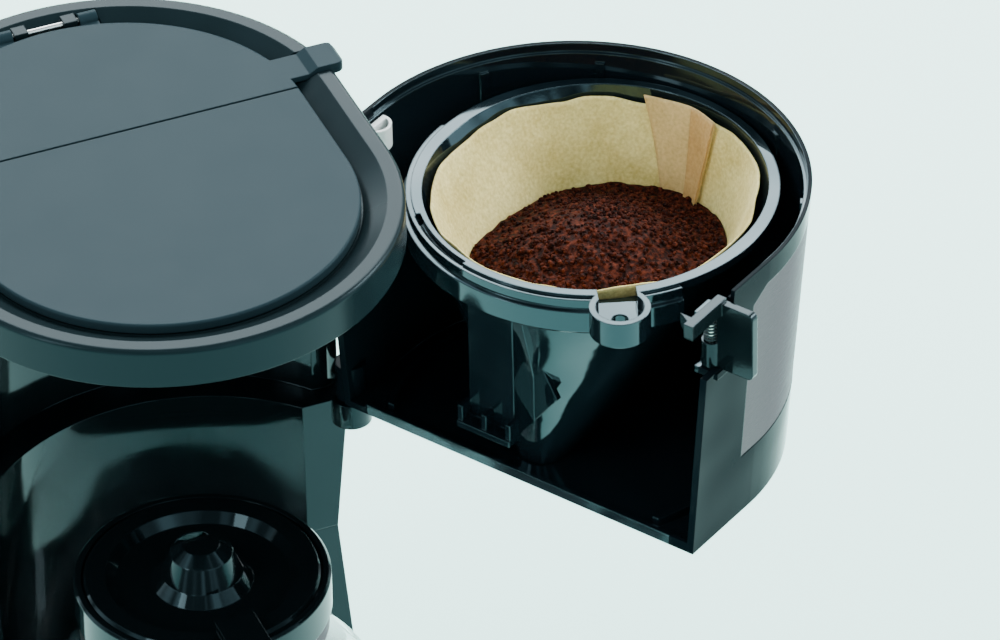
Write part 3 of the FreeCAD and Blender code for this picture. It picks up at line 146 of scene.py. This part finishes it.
def object_point(tree, stretch=(1, 1, 1)):
    place = tree.nodes.new("ShaderNodeTexCoord")
    mapping = tree.nodes.new("ShaderNodeMapping")
    mapping.inputs["Scale"].default_value = stretch
    tree.links.new(place.outputs["Object"], mapping.inputs["Vector"])
    return mapping.outputs["Vector"]


def cloud(tree, size, detail=2.0, stretch=(1, 1, 1)):
    """A noise whose features are about size metres across."""
    texture = tree.nodes.new("ShaderNodeTexNoise")
    texture.inputs["Scale"].default_value = 1.0 / size
    texture.inputs["Detail"].default_value = detail
    tree.links.new(object_point(tree, stretch), texture.inputs["Vector"])
    return texture.outputs["Fac"]


def spread(tree, value, low, high):
    """Turns the middle of a noise into the range low to high."""
    ramp = tree.nodes.new("ShaderNodeMapRange")
    ramp.inputs["From Min"].default_value = 0.3
    ramp.inputs["From Max"].default_value = 0.7
    ramp.inputs["To Min"].default_value = low
    ramp.inputs["To Max"].default_value = high
    tree.links.new(value, ramp.inputs["Value"])
    return ramp.outputs["Result"]


def relief(tree, shader, heights, edge=0.0):
    """Bumps from (value, depth) pairs, one on the other, over edges rounded by edge metres."""
    normal = None
    if edge:
        rounding = tree.nodes.new("ShaderNodeBevel")
        rounding.samples = 4
        rounding.inputs["Radius"].default_value = edge
        normal = rounding.outputs["Normal"]
    for value, depth in heights:
        bump = tree.nodes.new("ShaderNodeBump")
        bump.inputs["Distance"].default_value = depth
        tree.links.new(value, bump.inputs["Height"])
        if normal:
            tree.links.new(normal, bump.inputs["Normal"])
        normal = bump.outputs["Normal"]
    tree.links.new(normal, shader.inputs["Normal"])


def moulded(name, colour, low, high, wave, grain_tone_and_painted_shade, edge, shine=0.26):
    """Injection-moulded plastic: haze, slow waves and a fine grain."""
    material, tree, shader = new_finish(name, colour, low)
    shader.inputs["Specular IOR Level"].default_value = shine
    shader.inputs["Specular Tint"].default_value = (0.55, 0.88, 1.0, 1)
    tree.links.new(spread(tree, cloud(tree, 0.012, 3.0), low, high), shader.inputs["Roughness"])
    relief(tree, shader, [(cloud(tree, 0.045, 1.0), wave), (cloud(tree, 0.0009, 1.0), grain_tone_and_painted_shade)], edge)
    return material


def give(material, *names):
    for name in names:
        for slot in nodes[name].material_slots:
            slot.material = material


gloss_black = moulded("gloss_black_moulding", (0.0022, 0.0042, 0.0050), 0.05, 0.10,
                      0.0011, 0.000003, 0.0006)
satin_black = moulded("satin_black_moulding", (0.012, 0.017, 0.018), 0.30, 0.40, 0.0001, 0.00002, 0.0005)
foot_rubber = moulded("foot_rubber", (0.02, 0.02, 0.02), 0.6, 0.75, 0.0, 0.00006, 0.0003)


def turned_steel(name, colour, low, high, size, stretch=(1, 1, 1), depth=0.000004):
    """Metal with fine tool marks, stretched along the way it was worked."""
    material, tree, shader = new_finish(name, colour, low, 1.0)
    marks = cloud(tree, size, 4.0, stretch)
    tree.links.new(spread(tree, marks, low, high), shader.inputs["Roughness"])
    relief(tree, shader, [(marks, depth)], 0.0002)
    return material


plated_steel = turned_steel("plated_steel", (0.62, 0.62, 0.60), 0.18, 0.32, 0.0012)
give(gloss_black, "base_shell")
give(satin_black, "bottom_cover")
give(foot_rubber, "rubber_feet")
give(plated_steel, "bottom_screws")

# --- Power switch and cord bush --------------------------------------------------------
# A rocker in a satin frame at the front, and the bush that the mains lead goes through.
# Both snap into the base shell from outside.
rocker_gloss = moulded("rocker_gloss", (0.01, 0.011, 0.012), 0.12, 0.2, 0.0, 0.00001, 0.0006)
give(satin_black, "switch_bezel", "switch_body", "cord_gland")
give(rocker_gloss, "power_rocker")

# --- Warming plate and heater ---------------------------------------------------------
# A pressed steel plate with a speckled non-stick coat, sealed with a silicone ring.
# The cast heater is clamped under it, with its thermostat and two fuses on a bracket.
def tinted(tree, shader, pattern, first, last, between=()):
    """Colours a finish from a pattern; each stop is (position, colour)."""
    ramp = tree.nodes.new("ShaderNodeValToRGB")
    stops = ramp.color_ramp.elements
    stops[0].position, stops[0].color = first
    stops[1].position, stops[1].color = last
    for position, colour in between:
        stops.new(position).color = colour
    tree.links.new(pattern, ramp.inputs["Fac"])
    tree.links.new(ramp.outputs["Color"], shader.inputs["Base Color"])


def let_light_in(shader, weight, depth):
    """Lets light into a milky finish, depth being how far each colour goes."""
    shader.inputs["Subsurface Weight"].default_value = weight
    shader.inputs["Subsurface Radius"].default_value = depth


plate_coat, plate_tree, plate_shader = new_finish("non_stick_coat", (0.03, 0.03, 0.032), 0.42)
speckle = cloud(plate_tree, 0.0012, 2.0)
tinted(plate_tree, plate_shader, speckle, (0.62, (0.022, 0.023, 0.025, 1)), (0.72, (0.12, 0.125, 0.13, 1)))
relief(plate_tree, plate_shader, [(speckle, 0.00003)], 0.0005)
silicone, silicone_tree, silicone_shader = new_finish("silicone", (0.55, 0.55, 0.53), 0.5)
let_light_in(silicone_shader, 0.2, (0.002, 0.002, 0.002))
silicone_haze = spread(silicone_tree, cloud(silicone_tree, 0.003), 0.42, 0.6)
silicone_tree.links.new(silicone_haze, silicone_shader.inputs["Roughness"])
relief(silicone_tree, silicone_shader, [(cloud(silicone_tree, 0.0008), 0.00002)])
cast_metal = turned_steel("cast_aluminium", (0.60, 0.60, 0.59), 0.45, 0.62, 0.0016, depth=0.00006)
give(plate_coat, "warming_plate")
give(silicone, "plate_seal")
give(cast_metal, "heating_element")
give(plated_steel, "heater_bracket", "thermostat", "thermal_fuses")

# --- Tower ----------------------------------------------------------------------------
# Foot and housing are two glossy mouldings screwed together at the seam.
# A clear gauge window stands in the left side.
window_clear, window_tree, window_shader = new_finish("clear_window", (0.86, 0.93, 0.94), 0.05)
window_shader.inputs["Transmission Weight"].default_value = 0.9
window_shader.inputs["IOR"].default_value = 1.5
relief(window_tree, window_shader, [(cloud(window_tree, 0.02, 1.0), 0.0001)])
give(gloss_black, "tower_foot", "tower_housing")
give(window_clear, "gauge_window")
give(plated_steel, "tower_screws")

# --- Water tank and hoses -------------------------------------------------------------
# Natural polypropylene tank, with silicone hoses on spring clamps to the heater and back.
# A strainer and a loose ball keep the hot water from running back.
milky, milky_tree, milky_shader = new_finish("natural_polypropylene", (0.70, 0.73, 0.71), 0.35)
let_light_in(milky_shader, 0.35, (0.004, 0.004, 0.004))
milky_haze = spread(milky_tree, cloud(milky_tree, 0.02, 3.0), 0.26, 0.4)
milky_tree.links.new(milky_haze, milky_shader.inputs["Roughness"])
relief(milky_tree, milky_shader, [(cloud(milky_tree, 0.03, 1.0), 0.0002)], 0.0005)
give(milky, "water_tank", "tank_strainer", "check_valve_ball", "riser_tube")
give(silicone, "cold_hose", "hot_hose")
give(plated_steel, "hose_clamps")

# --- Spray arm ------------------------------------------------------------------------
# A satin arm under the cap carries the water out to the spray head over the filter.
give(satin_black, "spray_arm", "spray_head")

# --- Top cap --------------------------------------------------------------------------
# Satin moulding with a flat ring, a sloped channel inside it, and two panels on top.
# The front panel snaps in, and the tank lid lifts on a steel pin.
cap_satin = moulded("cap_satin", (0.006, 0.012, 0.014), 0.20, 0.25, 0.0001, 0.000005, 0.0006, 0.10)
panel_satin = moulded("panel_satin", (0.014, 0.028, 0.034), 0.34, 0.38, 0.00005, 0.000008, 0.0005, 0.05)
give(cap_satin, "top_cap")
give(panel_satin, "front_panel", "tank_lid")
give(plated_steel, "lid_hinge_pin")

# --- Wiring ---------------------------------------------------------------------------
# Sleeved wires run from the switch and the mains bush to a terminal block in the base.
sleeve = moulded("wire_sleeve", (0.45, 0.45, 0.42), 0.5, 0.65, 0.0, 0.00003, 0.0)
give(satin_black, "terminal_block")
give(sleeve, "internal_wires")

# --- Swing-out holder -----------------------------------------------------------------
# One glossy moulding that swings on two steel pins, with a brushed steel skin on its face.
# A white clip keeps the pins in, and a sprung lever holds the holder shut.
brushed = turned_steel("brushed_skin", (0.12, 0.105, 0.11), 0.22, 0.36, 0.0003, (0.04, 0.04, 1), 0.00001)
brushed.node_tree.nodes["Principled BSDF"].inputs["Specular Tint"].default_value = (0.48, 0.44, 0.46, 1)
swing = [joint for joint in frame["joints"] if joint["name"] == "swing_hinge"][0]
hinge = Vector(swing["pos_m"])
opened = (Matrix.Translation(hinge) @ Matrix.Rotation(-math.radians(swing["range_deg"][0]), 4, "Z")
          @ Matrix.Translation(-hinge))
INNER_SHINE, OUTER_PAINTED_SHADE_SHINE = 0.6, 0.02                  # of the holder's inside and its outer face; the outer face's near-zero shine is painted shade
holder_gloss = moulded("holder_gloss", (0.003, 0.006, 0.008), 0.05, 0.12,
                       0.0030, 0.000003, 0.0006, INNER_SHINE)
# Radii of the middle of the wall, at the holder's floor and at its top, round its front arc.
OUTER_FOOT_R, OUTER_BRIM_R = 0.0660, 0.0734
HOLDER_ARC_Y = -0.0209
arc_middle = opened @ Vector((0.0, HOLDER_ARC_Y, 0.0))
holder_foot, holder_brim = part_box("filter_holder")
holder_tree = holder_gloss.node_tree
from_middle = holder_tree.nodes.new("ShaderNodeVectorMath")
from_middle.operation = "DISTANCE"
from_middle.inputs[1].default_value = (arc_middle.x, arc_middle.y, 0.0)
holder_tree.links.new(object_point(holder_tree, (1, 1, 0)), from_middle.inputs[0])
holder_height = holder_tree.nodes.new("ShaderNodeSeparateXYZ")
holder_tree.links.new(object_point(holder_tree), holder_height.inputs["Vector"])
wall_middle = holder_tree.nodes.new("ShaderNodeMapRange")
wall_middle.inputs["From Min"].default_value = holder_foot.z
wall_middle.inputs["From Max"].default_value = holder_brim.z
wall_middle.inputs["To Min"].default_value = OUTER_FOOT_R
wall_middle.inputs["To Max"].default_value = OUTER_BRIM_R
holder_tree.links.new(holder_height.outputs["Z"], wall_middle.inputs["Value"])
# Past the middle of the wall the shine drops almost to nothing: painted shade on the outer face, standing
# in for the dark studio reflections it would show.
outer_face_shade_mask = holder_tree.nodes.new("ShaderNodeMath")
outer_face_shade_mask.operation = "GREATER_THAN"
holder_tree.links.new(from_middle.outputs["Value"], outer_face_shade_mask.inputs[0])
holder_tree.links.new(wall_middle.outputs["Result"], outer_face_shade_mask.inputs[1])
shine_with_painted_shade = holder_tree.nodes.new("ShaderNodeMapRange")
shine_with_painted_shade.inputs["To Min"].default_value = INNER_SHINE
shine_with_painted_shade.inputs["To Max"].default_value = OUTER_PAINTED_SHADE_SHINE
holder_tree.links.new(outer_face_shade_mask.outputs["Value"], shine_with_painted_shade.inputs["Value"])
holder_shader = holder_tree.nodes["Principled BSDF"]
holder_tree.links.new(shine_with_painted_shade.outputs["Result"], holder_shader.inputs["Specular IOR Level"])
give(holder_gloss, "filter_holder")
give(brushed, "steel_panel")
give(plated_steel, "swing_hinge_pins", "lever_pin")
give(satin_black, "hinge_bushes", "lever_spring")
give(gloss_black, "release_lever")
give(milky, "hinge_clip")

# --- Filter basket --------------------------------------------------------------------
# A glossy wedge-shaped basket that lifts out, with a sprung drip valve in its foot.
# In the real basket the valve rises on its stem and shortens the spring above it; here the spring is only
# given a mesh of its own.
give(holder_gloss, "filter_basket")
give(satin_black, "drip_valve", "valve_guide")
give(silicone, "valve_seal")
give(plated_steel, "valve_spring")
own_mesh(nodes["valve_spring"])

# --- Paper filter ---------------------------------------------------------------------
# Unbleached creped paper, opened out against the basket, with one glued seam.
# The sheet is folded from one piece, so its top edge waves and soft folds run down it.
guide_low, guide_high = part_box("valve_guide")
basket_middle = opened.inverted() @ ((guide_low + guide_high) / 2)
paper_low, paper_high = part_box("paper_filter")[0].z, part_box("paper_filter")[1].z
RIM_HEIGHT = paper_high - 0.003                       # the paper's edge ends just below the basket's rim
CONE_FOOT_HEIGHT, CONE_TOP_HEIGHT = 0.1723, 0.254
CONE_FOOT_R, CONE_WIDENS = 0.008, 0.0455
CONE_FOOT_HALF, CONE_SHORTENS = 0.030, 0.0275         # half of the straight part of its outline
CONE_WALL = 0.0028                                    # the basket's wall, with a little room


def wall_of_paper(height, turn_angle, room=0.0):
    """The point of the basket's inner wall at that height and angle, in the closed holder."""
    share = (height - CONE_FOOT_HEIGHT) / (CONE_TOP_HEIGHT - CONE_FOOT_HEIGHT)
    radius = CONE_FOOT_R + CONE_WIDENS * share - CONE_WALL - room
    half = max(CONE_FOOT_HALF - CONE_SHORTENS * share, 0.0)
    c, s = math.cos(turn_angle), math.sin(turn_angle)
    return Vector((basket_middle.x + radius * c,
                   basket_middle.y + radius * s + math.copysign(half, s) * min(1.0, abs(s) * 6), height))


def finish_piece(name, shape, material, body, smooth=True):
    """Turns a finished bmesh into an object that rides on a body."""
    mesh = bpy.data.meshes.new(name)
    shape.to_mesh(mesh)
    shape.free()
    mesh.polygons.foreach_set("use_smooth", [smooth] * len(mesh.polygons))
    mesh.materials.append(material)
    piece = bpy.data.objects.new(name, mesh)
    bpy.context.scene.collection.objects.link(piece)
    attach(piece, body)
    return piece


def creped(name, dark, light):
    """Unbleached paper: blotchy pulp, short fibres and a fine crepe."""
    material, tree, shader = new_finish(name, light[:3], 0.85)
    fibre = cloud(tree, 0.0011, 4.0)
    blotch = cloud(tree, 0.016, 3.0)
    mixed = tree.nodes.new("ShaderNodeMath")
    mixed.operation = "ADD"
    tree.links.new(spread(tree, fibre, 0.0, 0.5), mixed.inputs[0])
    tree.links.new(spread(tree, blotch, 0.0, 0.5), mixed.inputs[1])
    tinted(tree, shader, mixed.outputs[0], (0.1, dark), (0.9, light))
    crepe = cloud(tree, 0.0016, 3.0, (1, 1, 0.35))
    relief(tree, shader, [(blotch, 0.0009), (crepe, 0.00035), (fibre, 0.0001)])
    let_light_in(shader, 0.25, (0.002, 0.0015, 0.001))
    return material


def stand_off(angle, share):
    """How far soft folds hold the paper off the basket, more of it towards the top."""
    crease = noise.noise(Vector((math.cos(angle) * 3.4, math.sin(angle) * 3.4, share * 1.6)))
    return 0.0008 + 0.0018 * share * max(crease + 0.25, 0.0)


def thicken(piece):
    """Gives a sheet of paper its thickness."""
    thickness = piece.modifiers.new("thickness", "SOLIDIFY")
    thickness.thickness = PAPER_THICK
    thickness.offset = 0.0


paper = creped("creped_paper", (0.58, 0.44, 0.13, 1), (0.90, 0.76, 0.32, 1))
PAPER_THICK = 0.0005
PAPER_LIFT = 0.0006                                   # its foot above the bottom of the cone
sheet_shape = bmesh.new()
bmesh.ops.create_circle(sheet_shape, segments=240, radius=1.0)
ring_edges = sheet_shape.edges[:]
LEVELS = 46
for level_number in range(LEVELS):
    grown = bmesh.ops.extrude_edge_only(sheet_shape, edges=ring_edges)
    ring_edges = [item for item in grown["geom"] if isinstance(item, bmesh.types.BMEdge)]
    lifted = [item for item in grown["geom"] if isinstance(item, bmesh.types.BMVert)]
    bmesh.ops.translate(sheet_shape, verts=lifted, vec=(0, 0, 1.0 / LEVELS))
floor_edges = [edge for edge in sheet_shape.edges if all(vert.co.z < 1e-6 for vert in edge.verts)]
for vert in sheet_shape.verts:
    angle = math.atan2(vert.co.y, vert.co.x)
    share = vert.co.z
    ripple = noise.noise(Vector((math.cos(angle) * 2.6, math.sin(angle) * 2.6, 3.0)))
    fine = noise.noise(Vector((math.cos(angle) * 7.0, math.sin(angle) * 7.0, 9.0)))
    top = RIM_HEIGHT - 0.0024 + 0.0022 * ripple + 0.0004 * fine
    height = paper_low + PAPER_LIFT + (top - paper_low - PAPER_LIFT) * share
    vert.co = wall_of_paper(height, angle, stand_off(angle, share))
bmesh.ops.contextual_create(sheet_shape, geom=floor_edges)
bmesh.ops.recalc_face_normals(sheet_shape, faces=sheet_shape.faces[:])
bmesh.ops.transform(sheet_shape, matrix=opened, verts=sheet_shape.verts[:])
paper_piece = finish_piece("paper_sheet", sheet_shape, paper, "paper_filter")
thicken(paper_piece)
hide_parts("paper_filter")

SEAM_EDGE = math.radians(-104)                       # in the closed holder
STRIP_FOOT = 0.012
for strip_name, strip_width, strip_room, dark, light in (
        ("paper_flap", 32.5, 0.0007, (0.52, 0.34, 0.12, 1), (0.76, 0.53, 0.24, 1)),
        ("paper_seam", 13.0, 0.0016, (0.44, 0.24, 0.075, 1), (0.62, 0.37, 0.14, 1))):
    strip_shape = bmesh.new()
    bmesh.ops.create_grid(strip_shape, x_segments=16, y_segments=50, size=1.0)
    for vert in strip_shape.verts:
        side, share = (vert.co.x + 1.0) / 2, (vert.co.y + 1.0) / 2
        angle = SEAM_EDGE + math.radians(strip_width) * side * (0.62 + 0.38 * share)
        height = paper_low + STRIP_FOOT + (RIM_HEIGHT - 0.0006 - paper_low - STRIP_FOOT) * share
        room = stand_off(angle, share) + strip_room + 0.0012 * (1.0 - side) ** 4
        vert.co = wall_of_paper(height, angle, room)
    bmesh.ops.recalc_face_normals(strip_shape, faces=strip_shape.faces[:])
    bmesh.ops.transform(strip_shape, matrix=opened, verts=strip_shape.verts[:])
    strip_paper = creped(strip_name, dark, light)
    thicken(finish_piece(strip_name, strip_shape, strip_paper, "paper_filter"))

# --- Coffee grounds -------------------------------------------------------------------
# A heap of ground coffee, damp enough to hold a soft peak, over the lower half of the paper.
# Loose grains of one to two millimetres lie all over it.
grounds, grounds_tree, grounds_shader = new_finish("ground_coffee", (0.10, 0.03, 0.014), 0.7)
grain_tone_and_painted_shade = cloud(grounds_tree, 0.0016, 3.0)
# The grounds' own tone varies with this noise, which also raises their bumps: the darkest stop lies in the
# hollows as painted shade and the lightest on the tops as painted highlight.
tinted(grounds_tree, grounds_shader, grain_tone_and_painted_shade, (0.36, (0.008, 0.0022, 0.0016, 1)),
       (0.68, (0.105, 0.020, 0.008, 1)), [(0.5, (0.034, 0.0055, 0.0024, 1))])
grounds_shader.inputs["Specular IOR Level"].default_value = 0.08
relief(grounds_tree, grounds_shader, [(grain_tone_and_painted_shade, 0.0006), (cloud(grounds_tree, 0.0006), 0.0002)])

heap_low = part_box("coffee_grounds")[0].z
heap_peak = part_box("coffee_grounds")[1].z
heap_edge = heap_peak - 0.0165
HEAP_REACH = 0.046                                    # where its slope runs out
PAPER_ROOM = 0.0018                                   # between the heap and the basket's wall
tilt = Vector((-0.60, 0.80)) * 0.0024


def heap_height(x, y):
    """The top of the heap at a point measured from the basket's middle."""
    reach = math.hypot(x, y)
    rise = 0.5 + 0.5 * math.cos(math.pi * min(reach / HEAP_REACH, 1.0))
    lean = (x * tilt.x + y * tilt.y) / 0.043
    lumps = noise.noise(Vector((x * 90, y * 90, 1.0))) * 0.0011
    lumps += noise.noise(Vector((x * 300, y * 300, 5.0))) * 0.0006
    return heap_edge + lean + (heap_peak - heap_edge - 0.0030) * rise + lumps


def rim_of_heap(turn_angle, room):
    """Where the heap's top meets the paper at that angle."""
    first = wall_of_paper(heap_edge, turn_angle, room)
    height = heap_height(first.x - basket_middle.x, first.y - basket_middle.y)
    return wall_of_paper(height, turn_angle, room)


heap_shape = bmesh.new()
bmesh.ops.create_uvsphere(heap_shape, u_segments=260, v_segments=150, radius=1.0)
for vert in heap_shape.verts:
    angle = math.atan2(vert.co.y, vert.co.x)
    polar = math.acos(max(-1.0, min(1.0, vert.co.z))) / (math.pi / 2)
    if polar <= 1.0:
        edge_point = rim_of_heap(angle, PAPER_ROOM)
        x = (edge_point.x - basket_middle.x) * polar
        y = (edge_point.y - basket_middle.y) * polar
        vert.co = (basket_middle.x + x, basket_middle.y + y, heap_height(x, y))
    else:
        top = rim_of_heap(angle, PAPER_ROOM).z
        height = top + (heap_low + 0.0003 - top) * min((polar - 1.0) * 2.0, 1.0)
        edge_point = wall_of_paper(height, angle, PAPER_ROOM)
        inward = 1.0 - max(0.0, (polar - 1.5) * 2.0)
        vert.co = (basket_middle.x + (edge_point.x - basket_middle.x) * inward,
                   basket_middle.y + (edge_point.y - basket_middle.y) * inward, height)
bmesh.ops.recalc_face_normals(heap_shape, faces=heap_shape.faces[:])
bmesh.ops.transform(heap_shape, matrix=opened, verts=heap_shape.verts[:])
heap_piece = finish_piece("coffee_heap", heap_shape, grounds, "paper_filter")
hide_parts("coffee_grounds")

random.seed(7)
grain_shape = bmesh.new()
for grain_number in range(2600):
    angle = random.uniform(-math.pi, math.pi)
    share = math.sqrt(random.random()) * 0.985
    edge_point = rim_of_heap(angle, 0.0024)
    x = (edge_point.x - basket_middle.x) * share
    y = (edge_point.y - basket_middle.y) * share
    size = random.choice((0.00045, 0.0006, 0.0006, 0.0008, 0.0011))
    place = Matrix.Translation((basket_middle.x + x, basket_middle.y + y, heap_height(x, y) + size * 0.3))
    spin_by = random.uniform(0, 6.28)
    spin_line = Vector((random.random(), random.random(), 0.3)).normalized()
    squeeze = Matrix.Diagonal((random.uniform(0.8, 1.3), random.uniform(0.6, 1.1),
                               random.uniform(0.6, 1.0), 1))
    laid = opened @ place @ Matrix.Rotation(spin_by, 4, spin_line) @ squeeze
    bmesh.ops.create_icosphere(grain_shape, subdivisions=1, radius=size, matrix=laid)
finish_piece("coffee_grains", grain_shape, grounds, "paper_filter", smooth=False)

# --- Carafe ---------------------------------------------------------------------------
# Blown borosilicate glass in a clamped steel band, with a glossy collar and bow handle.
# The lid turns on a steel pin between the handle's ears.
glass, glass_tree, glass_shader = new_finish("borosilicate", (1.0, 1.0, 1.0), 0.0)
glass_shader.inputs["Transmission Weight"].default_value = 1.0
glass_shader.inputs["IOR"].default_value = 1.47
relief(glass_tree, glass_shader, [(cloud(glass_tree, 0.03, 1.0), 0.0001)])
give(glass, "carafe_glass")
give(gloss_black, "carafe_collar", "carafe_handle", "carafe_lid")
give(brushed, "carafe_band")
give(plated_steel, "lid_pin", "band_screw")
